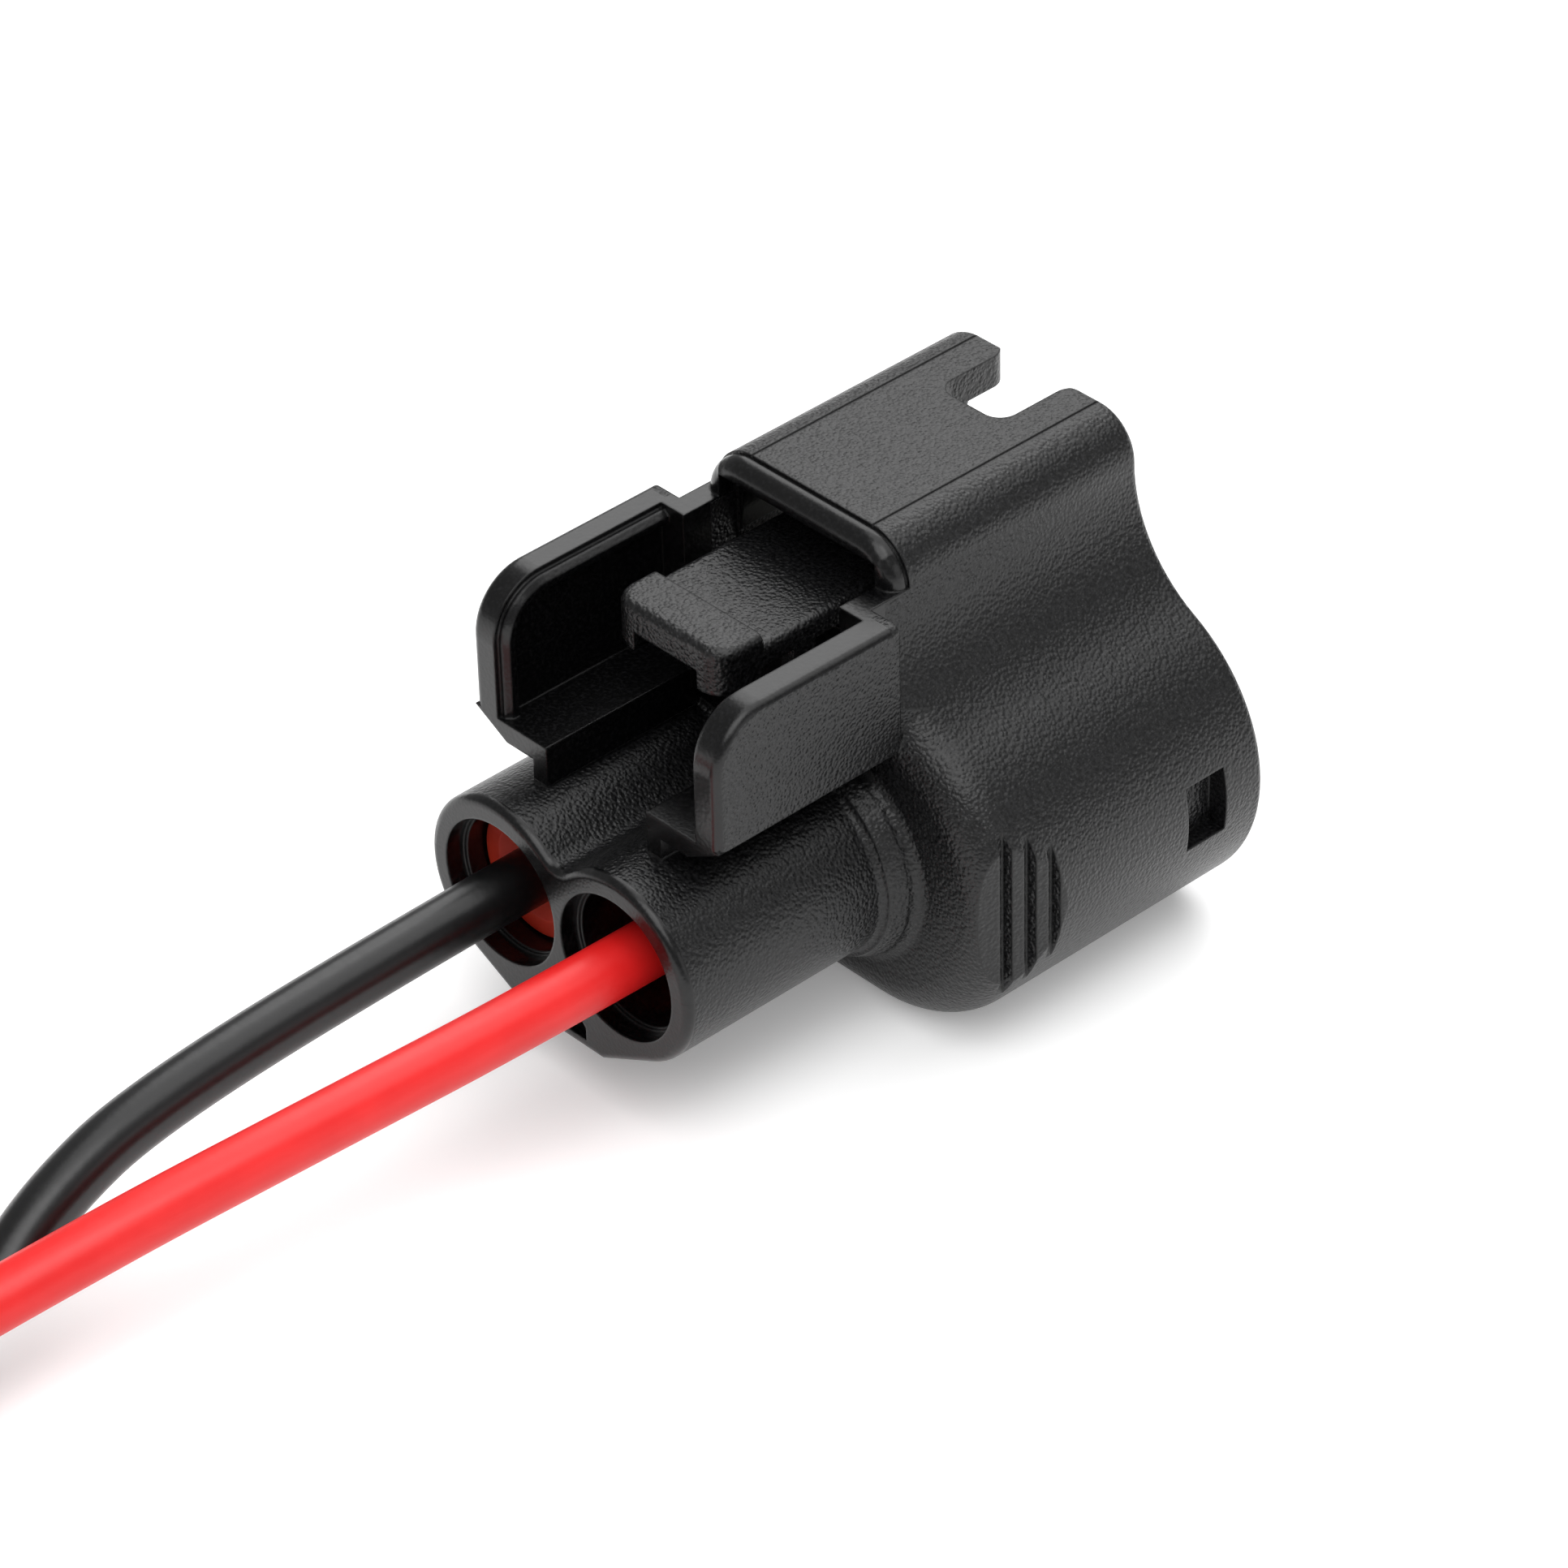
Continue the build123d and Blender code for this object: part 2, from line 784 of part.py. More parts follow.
def route_black():
    bends = [
        (-3.62, -31.4, 7.60),
        (-3.15, -38.3, 6.10),
        (-2.30, -42.6, 4.20),
        (-1.45, -46.2, 2.75),
    ]
    return lead_route(-bore_x, bends, 0)


def route_red():
    bends = [
        (2.85, -31.4, 7.85),
        (1.85, -38.3, 7.25),
        (0.80, -42.8, 6.30),
        (-0.15, -46.4, 5.40),
    ]
    return lead_route(bore_x, bends, 1)


def coil_level(layer):
    """Height of the wire's middle in a coil, for the layer it lies in."""
    return coil_lift + wire_radius + layer * wire_diameter


def corner_radii(points):
    """Radius of the arc at each inner point, which takes up the same share of the shorter run."""
    radii = []
    for before, corner, after in zip(points, points[1:], points[2:]):
        run_in = Vector(*corner) - Vector(*before)
        run_out = Vector(*after) - Vector(*corner)
        turn = run_in.get_angle(run_out)
        shorter = min(run_in.length, run_out.length)
        radii.append(arc_share * shorter / tan(radians(turn / 2)))
    return radii


def make_lead(points):
    """Round tube along the straight runs and the arcs between them."""
    path = FilletPolyline(*points, radius=corner_radii(points))
    ends = Plane(origin=points[0], z_dir=Vector(*points[1]) - Vector(*points[0]))
    return sweep(ends * Circle(wire_radius), path=path)


def coil_place(angle, radius, z):
    """Point of the coil at an angle clockwise from its entry on the +X side."""
    turn = radians(-angle)
    return Vector(coil_centre_x + radius * cos(turn), coil_centre_y + radius * sin(turn), z)


def track_arc(radius, start, end, z):
    """Arc of the coil from one angle to another, run clockwise."""
    centre = (coil_centre_x, coil_centre_y, z)
    return CenterArc(centre, radius, -start, start - end)


def inner_turn_plan():
    """Plan of the inner turn, which lies against the inside of the outer one."""
    outer = CenterArc((0, 0), coil_outer_track, -inner_end, inner_end - inner_start)
    inner = CenterArc((0, 0), coil_inner_track - wire_radius, -inner_end, inner_end - inner_start)
    return make_face([outer, inner, Line(outer @ 0, inner @ 0), Line(outer @ 1, inner @ 1)])


def make_coil(layer):
    """Closed solid of a coil: its full outer turn, the start of the inner one and the entry stub."""
    z = coil_level(layer)
    plan = Circle(coil_outer_track + wire_radius) - Circle(coil_outer_track - wire_radius) + inner_turn_plan()
    turns = extrude(plan, amount=wire_radius, both=True)
    rims = turns.edges().filter_by(Axis.Z, reverse=True)
    turns = Pos(coil_centre_x, coil_centre_y, z) * fillet(rims, coil_round)
    entry = Plane(origin=coil_place(0, coil_outer_track, z), z_dir=(0, 1, 0))
    return turns + extrude(entry * Circle(wire_radius), amount=stub_length)


def make_tinned_end(layer):
    """Stripped and tinned end of a lead, bent along the coil's inner track."""
    angle = degrees(stripped_length / coil_inner_track)
    arc = track_arc(coil_inner_track, inner_end, inner_end + angle, coil_level(layer))
    return sweep(Plane(origin=arc @ 0, z_dir=arc % 0) * Circle(conductor_radius), path=arc)


def make_tie():
    """Strap round both coils, with its locking head outside and a short tail."""
    outer = coil_outer_track + wire_radius
    half = tie_width / 2
    inner = sqrt((coil_inner_track - wire_radius) ** 2 - half ** 2) - fit_clearance
    top = coil_lift + 2 * wire_diameter
    hole = block((inner, outer), (-half - spare, half + spare), (coil_lift, top))
    strap = block((inner - tie_thickness, outer + tie_thickness), (-half, half), (0, top + tie_thickness))
    strap = fillet(strap.edges().filter_by(Axis.Y), tie_round) - hole
    head = block(
        (outer, outer + tie_head_depth),
        (-tie_head / 2, tie_head / 2),
        (tie_head_bottom, tie_head_bottom + tie_head_height),
    )
    head = fillet(head.edges(), tie_thickness / 2)
    head -= block((outer - spare, outer), (-tie_head, tie_head), (0, 2 * tie_head))
    tail_bottom = tie_head_bottom + tie_tail_lift
    tail = block(
        (outer + tie_thickness, outer + tie_head_depth + tie_tail),
        (-half, half),
        (tail_bottom, tail_bottom + tie_thickness),
    )
    place = Pos(coil_centre_x, coil_centre_y, 0) * Rot(0, 0, -tie_angle)
    return place * (strap + head + tail)


def seat(solid):
    """Move a piece from the bores' axes at the rear face into the finished frame."""
    return Pos(0, -body_length / 2, axis_height) * solid


def main():
    parts = {
        "housing": seat(make_housing()),
        "terminal_retainer": seat(make_retainer()),
        "interface_seal": seat(make_interface_seal()),
        "coil_tie": make_tie(),
    }
    wires = {
        "black": (-bore_x, seal_rear_black, route_black(), 0),
        "red": (bore_x, seal_rear_red, route_red(), 1),
    }
    for colour, (x, seal_rear, route, layer) in wires.items():
        parts["wire_seal_" + colour] = seat(make_wire_seal(x, seal_rear))
        parts["contact_" + colour] = seat(make_contact(x))
        parts["contact_sleeve_" + colour] = seat(make_sleeve(x))
        parts["conductor_" + colour] = seat(make_conductor(x))
        parts["lead_" + colour] = make_lead(route)
        parts["coil_" + colour] = make_coil(layer)
        parts["tinned_end_" + colour] = make_tinned_end(layer)
    os.makedirs("parts", exist_ok=True)
    for name, shape in parts.items():
        export_step(shape, "parts/" + name + ".step")


main()
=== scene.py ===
import math
import bpy
from mathutils import Matrix, Vector


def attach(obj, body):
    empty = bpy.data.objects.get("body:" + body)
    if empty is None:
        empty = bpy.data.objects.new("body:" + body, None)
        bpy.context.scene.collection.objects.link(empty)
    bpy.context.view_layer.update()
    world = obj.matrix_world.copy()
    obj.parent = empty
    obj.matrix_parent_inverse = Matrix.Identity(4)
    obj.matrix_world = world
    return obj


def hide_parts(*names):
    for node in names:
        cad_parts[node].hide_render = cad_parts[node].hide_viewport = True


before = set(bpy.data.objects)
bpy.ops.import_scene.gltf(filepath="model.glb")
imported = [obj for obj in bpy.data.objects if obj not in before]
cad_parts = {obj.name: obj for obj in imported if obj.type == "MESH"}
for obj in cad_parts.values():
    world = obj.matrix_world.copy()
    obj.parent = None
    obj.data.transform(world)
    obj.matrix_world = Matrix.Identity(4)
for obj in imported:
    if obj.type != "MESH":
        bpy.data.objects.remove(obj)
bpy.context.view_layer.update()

# The frame is in metres: +Y to the mating end, +Z up, the floor at z = 0. MM takes millimetres to it.
MM = 0.001
REAR = -14.7
AXIS_HEIGHT = 8.0
WIRE = 2.7

# Places on the housing where its grain stops or a line runs, from the barrels' rear face and the bores' axes
RIM_BAND = 0.45
SIDE_PARTING = 0.45
PAD_FRONT = 9.2
LINE_WIDTH = 0.13
BARREL_TOP = 4.7
BORE_REACH = 3.6
RECESS_SIDE = 6.5
RECESS_FRONT = 14.0
CHANNEL_SIDE = 4.7
CHANNEL_TOP = 14.1
GUARD_INNER = 6.2
GUARD_OUTER = 7.9
GUARD_FRONT = 12.8
GUARD_TOP = 13.2
ARCH_FRONT = 15.35
LATCH_SIDE = 3.65
LATCH_BOTTOM = 10.6

# Grain of the moulding. Fine lines and what is left on smooth places are shares of its height.
PEBBLE_SCALE = 5600.0
FINE_SCALE = 9000.0
SPECKLE_SCALE = 6000.0
FINE_SHARE = 0.3
GRAIN_HEIGHT = 0.06
LINE_DEPTH = 1.2
SMOOTH_GRAIN = 0.1

# Cosines of a normal's turn: away from a guard's flank, and from the start to the end of a rounded edge
FLANK_TURN = 0.93
EDGE_TURN_START = 0.999
EDGE_TURN_END = 0.97

# Radii of the rounded edges that only the shading shows
MOULDED_EDGE = 0.15
SEAL_EDGE = 0.12
NYLON_EDGE = 0.10
METAL_EDGE = 0.05
EDGE_SAMPLES = 4

# Camera, fitted to the photograph. Its place is measured from the barrels' rear face.
CAMERA_PLACE = (182.142, -151.997, 181.425)
CAMERA_AZIMUTH = 0.8334665
CAMERA_ELEVATION = 0.6330660
CAMERA_ROLL = -0.0263448
CAMERA_LENS = 158.956
CAMERA_SENSOR = 36.0
CAMERA_CLIP = (0.01, 20.0)

# Studio, in metres and watts: place, width, height and power of each softbox
SOFTBOXES = {
    "top_softbox": ((0.03, 0.14, 0.43), 0.50, 0.50, 1.2),
    "front_softbox": ((0.16, -0.20, 0.42), 0.40, 0.40, 1.3),
    "side_softbox": ((0.40, 0.05, 0.12), 0.25, 0.20, 0.12),
    "back_softbox": ((-0.22, 0.26, 0.31), 0.32, 0.32, 0.80),
}
SOFTBOX_TARGET = (0.0, 0.0, 0.008)
WORLD_STRENGTH = 0.36
FLOOR_HALF = 1.5
FLOOR_GLOW = 0.2

# Leads
BORE_X = 3.75
INSULATION_FRONT = 10.9
STRAIGHT_EXIT = 2.9
ENTRY_RUN = 3.9
BLACK_BENDS = [
    (-3.62, -34.5, 7.50),
    (-3.10, -40.5, 5.90),
    (-2.20, -44.2, 4.00),
    (-1.40, -47.4, 2.70),
]
RED_BENDS = [
    (2.85, -31.4, 7.85),
    (1.85, -38.3, 7.25),
    (0.80, -42.8, 6.30),
    (-0.15, -46.4, 5.40),
]

# Coil of the leads' put-away length. Its angles run clockwise from its +X side, in degrees.
COIL_X = -17.3
COIL_Y = -64.0
OUTER_TRACK = 16.5
INNER_TRACK = 13.8
COIL_ENTRY = 9.54
COIL_STEP = 15.0
CHANGE_START = 292.0
CHANGE_END = 352.0
COIL_END = 510.0
BLACK_LEVEL = 1.95
RED_LEVEL = 4.65


# Nodes and materials

class Shader:
    """Builds one node material."""

    def __init__(self, name):
        self.material = bpy.data.materials.new(name)
        self.material.use_nodes = True
        self.tree = self.material.node_tree
        self.tree.nodes.clear()
        self.output = self.tree.nodes.new("ShaderNodeOutputMaterial")

    def add(self, kind, sockets=None, **settings):
        """A node with its settings, and its sockets set to values or linked to other sockets."""
        node = self.tree.nodes.new("ShaderNode" + kind)
        for name, value in settings.items():
            setattr(node, name, value)
        for name, value in (sockets or {}).items():
            if isinstance(value, bpy.types.NodeSocket):
                self.tree.links.new(value, node.inputs[name])
            else:
                node.inputs[name].default_value = value
        return node

    def place(self):
        """Object coordinates, which are the frame's own metres."""
        return self.add("TexCoord").outputs["Object"]

    def noise(self, scale, detail=2.0, roughness=0.5, at=None):
        sockets = {"Vector": at or self.place(), "Scale": scale, "Detail": detail, "Roughness": roughness}
        return self.add("TexNoise", sockets).outputs["Fac"]

    def math(self, operation, first, second=0.0):
        return self.add("Math", {0: first, 1: second}, operation=operation).outputs[0]

    def under(self, value, limit):
        return self.math("LESS_THAN", value, limit)

    def over(self, value, limit):
        return self.math("GREATER_THAN", value, limit)

    def all_of(self, first, *rest):
        """The product of the given values, which is 1 where all of them are 1."""
        for value in rest:
            first = self.math("MULTIPLY", first, value)
        return first

    def any_of(self, first, *rest):
        """The largest of the given values, which is 1 where any of them is 1."""
        for value in rest:
            first = self.math("MAXIMUM", first, value)
        return first

    def opposite(self, value):
        return self.math("SUBTRACT", 1.0, value)

    def line(self, value, place):
        """1 where a coordinate is within half a fine line's width of a place."""
        return self.add("Math", {0: value, 1: place, 2: LINE_WIDTH / 2 * MM}, operation="COMPARE").outputs[0]

    def spot(self):
        """Distance from the middle plane, place along Y, and height."""
        spot = self.add("SeparateXYZ", {0: self.place()}).outputs
        return self.math("ABSOLUTE", spot["X"]), spot["Y"], spot["Z"]

    def pebbles(self, scale):
        """Rounded grains packed side by side, from 0 between them to about 1 on their tops."""
        sockets = {"Vector": self.place(), "Scale": scale, "Smoothness": 0.5, "Randomness": 1.0}
        return self.opposite(self.add("TexVoronoi", sockets, feature="SMOOTH_F1").outputs["Distance"])

    def stretch(self, factors):
        """Object coordinates scaled by different factors along X, Y and Z."""
        return self.add("Mapping", {"Vector": self.place(), "Scale": factors}).outputs["Vector"]

    def spread(self, value, low, high):
        """A value from 0 to 1 mapped to the range from low to high."""
        return self.add("MapRange", {"Value": value, "To Min": low, "To Max": high}).outputs["Result"]

    def ramp(self, value, dark, light, start=0.3, end=0.7):
        node = self.add("ValToRGB", {"Fac": value})
        first, last = node.color_ramp.elements
        first.position, first.color = start, (*dark, 1)
        last.position, last.color = end, (*light, 1)
        return node.outputs["Color"]

    def rounded(self, radius):
        """Normals that run round sharp edges, as moulded edges do, with a radius in millimetres."""
        return self.add("Bevel", {"Radius": radius * MM}, samples=EDGE_SAMPLES).outputs["Normal"]

    def bump(self, height, depth, normal=None):
        """Normals bumped by a height from 0 to 1, with a depth in millimetres."""
        sockets = {"Height": height, "Distance": depth * MM, "Strength": 1.0}
        if normal is not None:
            sockets["Normal"] = normal
        return self.add("Bump", sockets).outputs["Normal"]

    def finish(self, **sockets):
        names = {name.replace("_", " "): value for name, value in sockets.items()}
        shader = self.add("BsdfPrincipled", names)
        self.tree.links.new(shader.outputs[0], self.output.inputs["Surface"])
        return self.material


def along(value):
    """A place along Y, given in millimetres from the barrels' rear face."""
    return (REAR + value) * MM


def upward(value):
    """A height, given in millimetres from the bores' axes."""
    return (AXIS_HEIGHT + value) * MM


def smooth_places(s):
    """1 on the rims, in the bores and round the latch, where the mould is polished, and 0 elsewhere. The
    housing's colour is darker where it is 1, which in the hollows and bores is painted shade.
    """
    across, y, z = s.spot()
    above_barrels = s.over(z, upward(BARREL_TOP))
    rim = s.under(y, along(RIM_BAND))
    flat_spot = s.add("CombineXYZ", {"X": across, "Z": z}).outputs[0]
    axis_spot = (BORE_X * MM, 0.0, AXIS_HEIGHT * MM)
    from_axis = s.add("VectorMath", {0: flat_spot, 1: axis_spot}, operation="DISTANCE").outputs["Value"]
    bore = s.under(from_axis, BORE_REACH * MM)
    recess = s.all_of(
        above_barrels,
        s.under(across, RECESS_SIDE * MM),
        s.under(y, along(RECESS_FRONT)),
    )
    channel = s.all_of(
        above_barrels,
        s.under(across, CHANNEL_SIDE * MM),
        s.under(z, upward(CHANNEL_TOP)),
    )
    latch = s.all_of(
        s.under(across, LATCH_SIDE * MM),
        s.over(z, upward(LATCH_BOTTOM)),
    )
    facing = s.add("SeparateXYZ", {0: s.add("NewGeometry").outputs["Normal"]}).outputs["X"]
    guard_rim = s.all_of(
        above_barrels,
        s.under(s.math("ABSOLUTE", facing), FLANK_TURN),
        s.over(across, GUARD_INNER * MM),
        s.under(across, GUARD_OUTER * MM),
        s.under(y, along(GUARD_FRONT)),
    )
    arch = s.all_of(
        s.over(y, along(RECESS_FRONT)),
        s.under(y, along(ARCH_FRONT)),
        s.over(z, upward(GUARD_TOP)),
    )
    hollow = s.all_of(s.any_of(recess, channel), s.opposite(latch))
    return s.any_of(hollow, rim, bore, guard_rim, arch)


def parting_lines(s):
    """1 on the fine lines that the mould's parts leave round the rims and at the thumb pad's front edge."""
    across, y, z = s.spot()
    rim = s.under(y, along(RIM_BAND))
    upper = s.all_of(
        rim,
        s.line(across, BORE_X * MM),
        s.over(z, AXIS_HEIGHT * MM),
    )
    outer = s.all_of(
        rim,
        s.line(z, upward(SIDE_PARTING)),
        s.over(across, BORE_X * MM),
    )
    pad = s.all_of(
        s.line(y, along(PAD_FRONT)),
        s.under(across, LATCH_SIDE * MM),
        s.over(z, upward(LATCH_BOTTOM)),
    )
    return s.any_of(upper, outer, pad, s.line(y, along(RIM_BAND)))


def moulded_black():
    """Nylon with the pebbled grain of a spark-eroded mould, smooth on rims, edges and recesses, with a
    darker colour on these smooth places that is painted shade in the recesses and bores.
    """
    s = Shader("moulded_black")
    soft = s.rounded(MOULDED_EDGE)
    straight = s.add("NewGeometry").outputs["Normal"]
    turned = s.add("VectorMath", {0: soft, 1: straight}, operation="DOT_PRODUCT").outputs["Value"]
    sockets = {"Value": turned, "From Min": EDGE_TURN_START, "From Max": EDGE_TURN_END}
    edge = s.add("MapRange", sockets).outputs["Result"]
    rough = s.opposite(s.any_of(edge, smooth_places(s)))
    sockets = {"Factor": FINE_SHARE, "A": s.pebbles(PEBBLE_SCALE), "B": s.noise(FINE_SCALE, 2.0, 0.6)}
    height = s.add("Mix", sockets, data_type="FLOAT").outputs["Result"]
    deep = s.math("MULTIPLY", height, s.spread(rough, SMOOTH_GRAIN, 1.0))
    cut = s.math("SUBTRACT", deep, s.math("MULTIPLY", parting_lines(s), LINE_DEPTH))
    # Random tone of the grain, darker on the smooth places: painted shade in the recesses, channel and
    # bores.
    speckle_and_painted_shade = s.math("MULTIPLY", s.noise(SPECKLE_SCALE), s.spread(rough, 0.8, 1.0))
    return s.finish(
        Base_Color=s.ramp(speckle_and_painted_shade, (0.0010, 0.0010, 0.0012), (0.0100, 0.0100, 0.0106), 0.38, 0.66),
        Roughness=s.spread(rough, 0.24, 0.34),
        Specular_IOR_Level=0.4,
        Normal=s.bump(cut, GRAIN_HEIGHT, soft),
    )


def retainer_nylon():
    s = Shader("retainer_nylon")
    grain = s.noise(3600.0, 3.0)
    colour = s.ramp(s.noise(300.0), (0.62, 0.62, 0.58), (0.70, 0.70, 0.66))
    return s.finish(
        Base_Color=colour,
        Roughness=s.spread(grain, 0.45, 0.6),
        Normal=s.bump(grain, 0.010, s.rounded(NYLON_EDGE)),
        Subsurface_Weight=0.15,
        Subsurface_Radius=(0.001, 0.001, 0.001),
        Subsurface_Scale=0.4,
    )


def seal_silicone(name, dark, light):
    s = Shader(name)
    grain = s.noise(2500.0, 2.0)
    colour = s.ramp(s.noise(400.0), dark, light)
    return s.finish(
        Base_Color=colour,
        Roughness=s.spread(grain, 0.48, 0.60),
        Specular_IOR_Level=0.3,
        Normal=s.bump(grain, 0.008, s.rounded(SEAL_EDGE)),
        Subsurface_Weight=0.25,
        Subsurface_Radius=(0.0012, 0.0005, 0.0003),
        Subsurface_Scale=0.5,
    )


def insulation(name, dark, light, rough):
    """Extruded insulation, faintly uneven, with a soft sheen."""
    s = Shader(name)
    grain = s.noise(2600.0, 3.0)
    waves = s.noise(500.0, 2.0)
    return s.finish(
        Base_Color=s.ramp(waves, dark, light),
        Roughness=s.spread(grain, rough - 0.05, rough + 0.06),
        Normal=s.bump(s.math("ADD", grain, waves), 0.008),
    )


def metal(name, dark, light, rough, depth):
    """Metal with fine marks along Y."""
    s = Shader(name)
    brushed = s.noise(2200.0, 3.0, at=s.stretch((1.0, 0.12, 1.0)))
    return s.finish(
        Base_Color=s.ramp(brushed, dark, light),
        Metallic=1.0,
        Roughness=s.spread(brushed, rough - 0.06, rough + 0.08),
        Normal=s.bump(brushed, depth, s.rounded(METAL_EDGE)),
    )


def tie_nylon():
    s = Shader("tie_nylon")
    grain = s.noise(1800.0, 2.0)
    return s.finish(
        Base_Color=s.ramp(grain, (0.70, 0.70, 0.66), (0.78, 0.78, 0.74)),
        Roughness=s.spread(grain, 0.35, 0.48),
        Normal=s.bump(grain, 0.010, s.rounded(NYLON_EDGE)),
        Subsurface_Weight=0.3,
        Subsurface_Radius=(0.001, 0.001, 0.001),
        Subsurface_Scale=0.5,
    )


def floor_white():
    """A white sweep, a little whiter to the camera and in reflections than as light on the object."""
    s = Shader("floor_white")
    grain = s.noise(40.0, 2.0)
    diffuse = s.add("BsdfDiffuse", {"Color": s.ramp(grain, (0.80, 0.80, 0.80), (0.82, 0.82, 0.82))})
    clean = s.add("BsdfDiffuse", {"Color": (1.0, 1.0, 1.0, 1.0)})
    glow = s.add("Emission", {"Color": (1.0, 1.0, 1.0, 1.0), "Strength": FLOOR_GLOW})
    both = s.add("AddShader", {0: clean.outputs[0], 1: glow.outputs[0]})
    path = s.add("LightPath").outputs
    seen = s.add("MixShader", {
        "Fac": s.any_of(path["Is Camera Ray"], path["Is Glossy Ray"], path["Is Transmission Ray"]),
        1: diffuse.outputs[0],
        2: both.outputs[0],
    })
    s.tree.links.new(seen.outputs[0], s.output.inputs["Surface"])
    return s.material


# Camera, floor and light

def make_camera():
    back = Vector((
        math.sin(CAMERA_AZIMUTH) * math.cos(CAMERA_ELEVATION),
        -math.cos(CAMERA_AZIMUTH) * math.cos(CAMERA_ELEVATION),
        math.sin(CAMERA_ELEVATION),
    ))
    level = Vector((math.cos(CAMERA_AZIMUTH), math.sin(CAMERA_AZIMUTH), 0.0))
    upright = back.cross(level)
    cos_roll, sin_roll = math.cos(CAMERA_ROLL), math.sin(CAMERA_ROLL)
    right = cos_roll * level + sin_roll * upright
    up = cos_roll * upright - sin_roll * level
    camera = bpy.data.cameras.new("camera")
    camera.sensor_width = CAMERA_SENSOR
    camera.lens = CAMERA_LENS
    camera.clip_start, camera.clip_end = CAMERA_CLIP
    holder = bpy.data.objects.new("camera", camera)
    x, y, z = CAMERA_PLACE
    turned = Matrix((right, up, back)).transposed().to_4x4()
    holder.matrix_world = Matrix.Translation(Vector((x, y + REAR, z + AXIS_HEIGHT)) * MM) @ turned
    bpy.context.collection.objects.link(holder)
    bpy.context.scene.camera = holder


def make_softbox(name, place, width, height, power):
    lamp = bpy.data.lights.new(name, "AREA")
    lamp.shape = "RECTANGLE"
    lamp.size = width
    lamp.size_y = height
    lamp.energy = power
    holder = bpy.data.objects.new(name, lamp)
    holder.location = place
    aim = Vector(SOFTBOX_TARGET) - Vector(place)
    holder.rotation_euler = aim.to_track_quat("-Z", "Y").to_euler()
    bpy.context.collection.objects.link(holder)


def make_studio():
    world = bpy.data.worlds.new("studio")
    world.use_nodes = True
    background = world.node_tree.nodes["Background"]
    background.inputs["Color"].default_value = (1.0, 1.0, 1.0, 1.0)
    background.inputs["Strength"].default_value = WORLD_STRENGTH
    bpy.context.scene.world = world
    bpy.context.scene.view_settings.view_transform = "Standard"
    for name, (place, width, height, power) in SOFTBOXES.items():
        make_softbox(name, place, width, height, power)


def make_floor():
    half = FLOOR_HALF
    mesh = bpy.data.meshes.new("floor")
    corners = [(-half, -half, 0), (half, -half, 0), (half, half, 0), (-half, half, 0)]
    mesh.from_pydata(corners, [], [(0, 1, 2, 3)])
    mesh.materials.append(floor_white())
    floor = bpy.data.objects.new("floor", mesh)
    bpy.context.collection.objects.link(floor)


# Leads

def coil_track(turn):
    """Distance of the wire from the coil's middle: it moves inside as it comes round to its own start."""
    share = min(max((turn - CHANGE_START) / (CHANGE_END - CHANGE_START), 0.0), 1.0)
    eased = share * share * (3.0 - 2.0 * share)
    return OUTER_TRACK + (INNER_TRACK - OUTER_TRACK) * eased


def coil_point(turn, level):
    """Point of the coil, at an angle in degrees that runs clockwise from its +X side."""
    angle = math.radians(turn)
    track = coil_track(turn)
    return (COIL_X + track * math.cos(angle), COIL_Y - track * math.sin(angle), level)


def coil_points(level):
    steps = int(COIL_END / COIL_STEP)
    points = [coil_point(i * COIL_STEP, level) for i in range(steps + 1)]
    return points + [coil_point(COIL_END, level)]


def make_cord(name, points, material):
    curve = bpy.data.curves.new(name, "CURVE")
    curve.dimensions = "3D"
    curve.bevel_depth = WIRE / 2 * MM
    curve.bevel_resolution = 8
    curve.resolution_u = 12
    curve.use_fill_caps = True
    spline = curve.splines.new("NURBS")
    spline.points.add(len(points) - 1)
    for point, place in zip(spline.points, points):
        point.co = (*(Vector(place) * MM), 1.0)
    spline.order_u = 3
    spline.use_endpoint_u = True
    curve.materials.append(material)
    cord = bpy.data.objects.new(name, curve)
    bpy.context.collection.objects.link(cord)
    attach(cord, "root")
    return cord


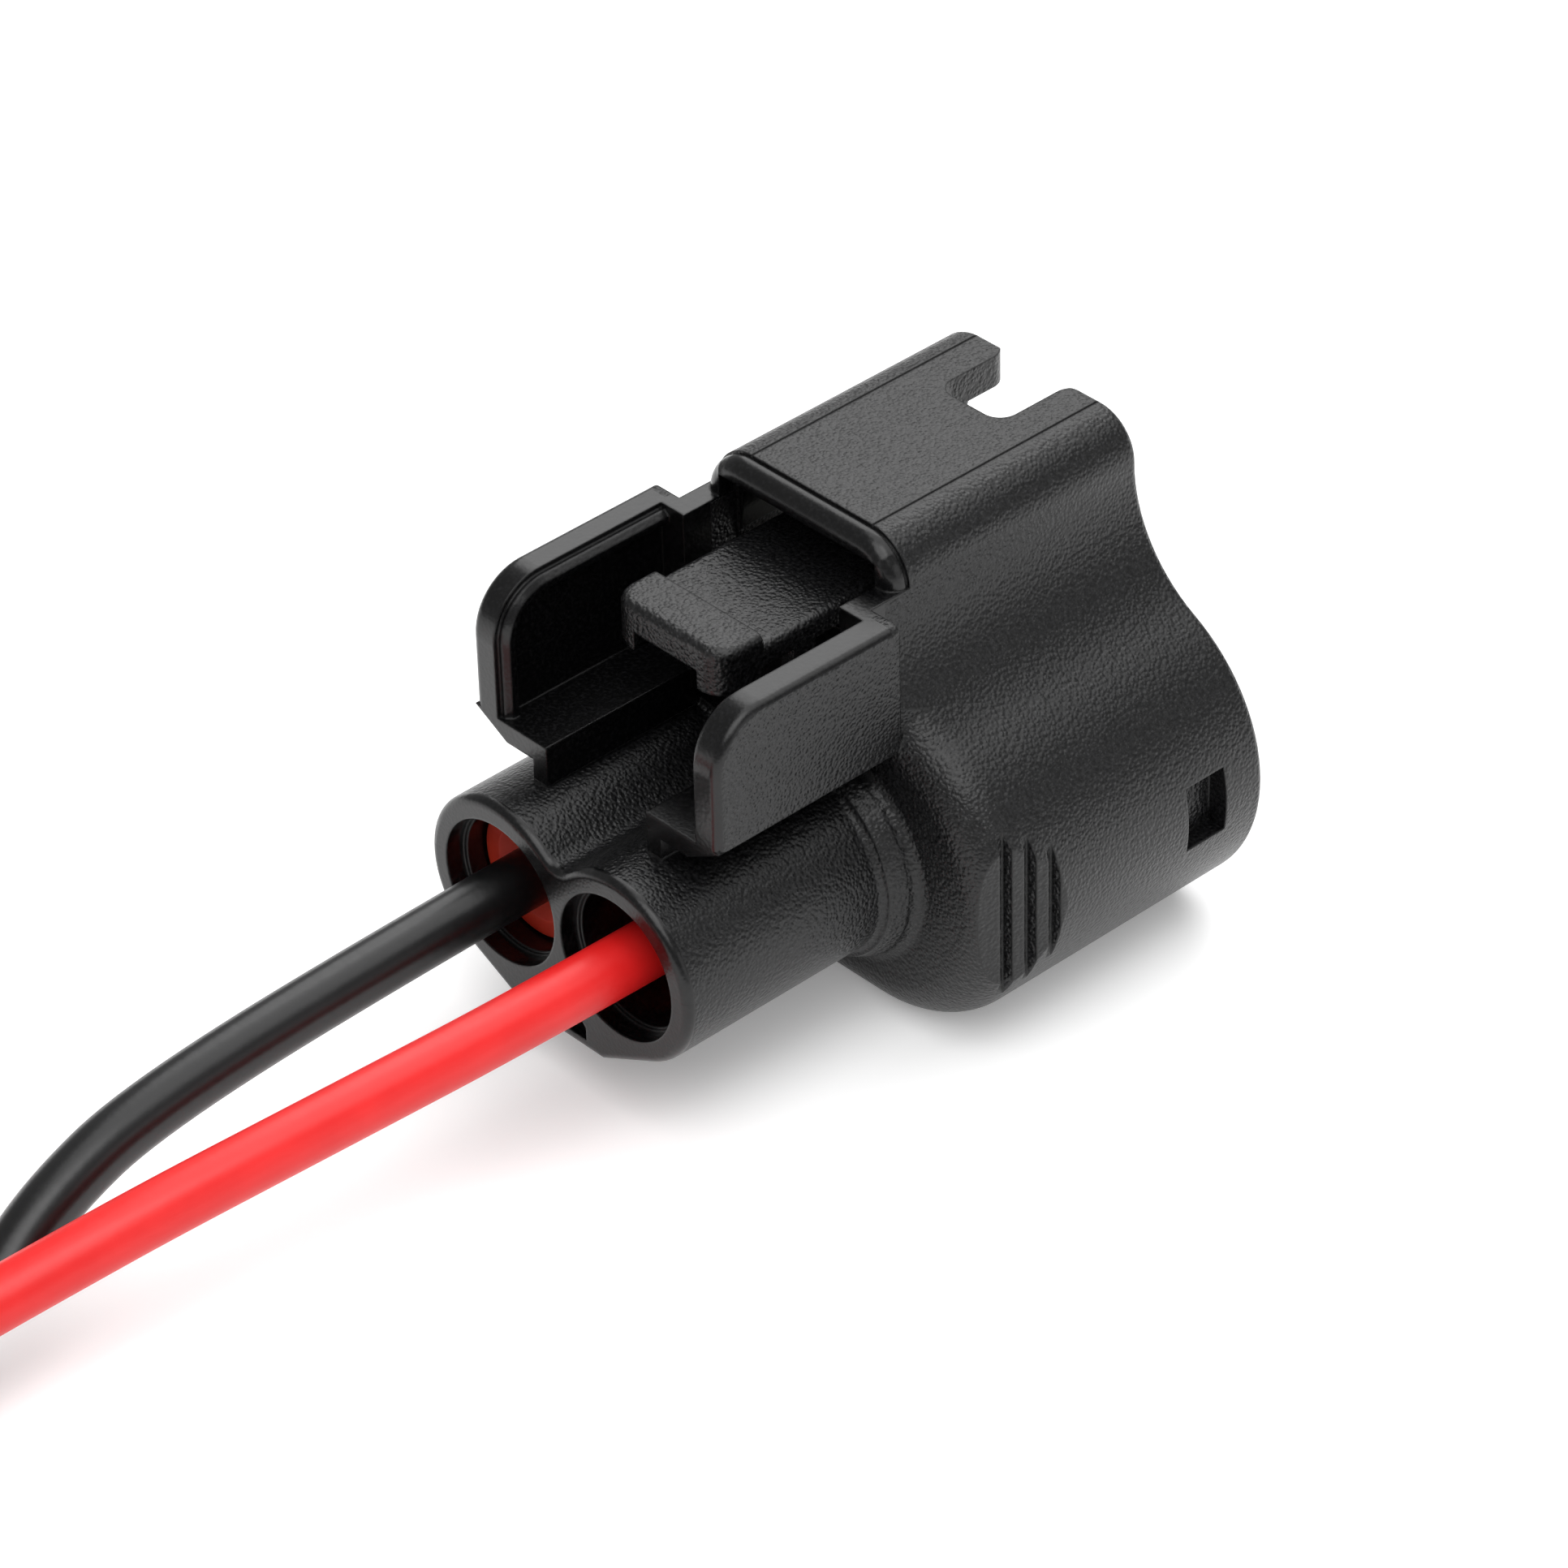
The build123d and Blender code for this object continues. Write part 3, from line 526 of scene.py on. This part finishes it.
def lead_route(x, bends, level):
    """Control points of a lead: straight out of its bore, down in gentle bends and level into its coil."""
    entry_x = COIL_X + OUTER_TRACK
    entry_y = COIL_Y + COIL_ENTRY
    start = [(x, REAR + INSULATION_FRONT, AXIS_HEIGHT), (x, REAR - STRAIGHT_EXIT, AXIS_HEIGHT)]
    return start + bends + [(entry_x, entry_y + ENTRY_RUN, level), (entry_x, entry_y, level)]


def make_leads():
    black = insulation("insulation_black", (0.0030, 0.0030, 0.0033), (0.0042, 0.0042, 0.0045), 0.31)
    red = insulation("insulation_red", (0.78, 0.012, 0.012), (0.84, 0.016, 0.016), 0.38)
    colours = (
        ("black", -BORE_X, BLACK_BENDS, BLACK_LEVEL, black),
        ("red", BORE_X, RED_BENDS, RED_LEVEL, red),
    )
    for colour, bore, bends, level, material in colours:
        route = lead_route(bore, bends, level)
        cord = make_cord("cord_" + colour, route + coil_points(level), material)
        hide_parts("lead_" + colour, "coil_" + colour)


def dress_solids():
    tinned = metal("tinned", (0.70, 0.70, 0.69), (0.80, 0.80, 0.79), 0.30, 0.004)
    steel = metal("spring_steel", (0.48, 0.48, 0.50), (0.60, 0.60, 0.62), 0.28, 0.004)
    copper = metal("copper", (0.80, 0.36, 0.20), (0.90, 0.46, 0.28), 0.35, 0.006)
    seal = seal_silicone("seal_silicone", (0.36, 0.018, 0.006), (0.50, 0.032, 0.010))
    chosen = {
        "housing": moulded_black(),
        "terminal_retainer": retainer_nylon(),
        "interface_seal": seal_silicone("ring_silicone", (0.020, 0.006, 0.004), (0.030, 0.009, 0.006)),
        "coil_tie": tie_nylon(),
    }
    for colour in ("black", "red"):
        chosen["wire_seal_" + colour] = seal
        chosen["contact_" + colour] = tinned
        chosen["contact_sleeve_" + colour] = steel
        chosen["conductor_" + colour] = copper
        chosen["tinned_end_" + colour] = tinned
    for name, material in chosen.items():
        mesh = bpy.data.objects[name].data
        mesh.materials.clear()
        mesh.materials.append(material)


make_camera()
make_studio()
make_floor()
make_leads()
dress_solids()
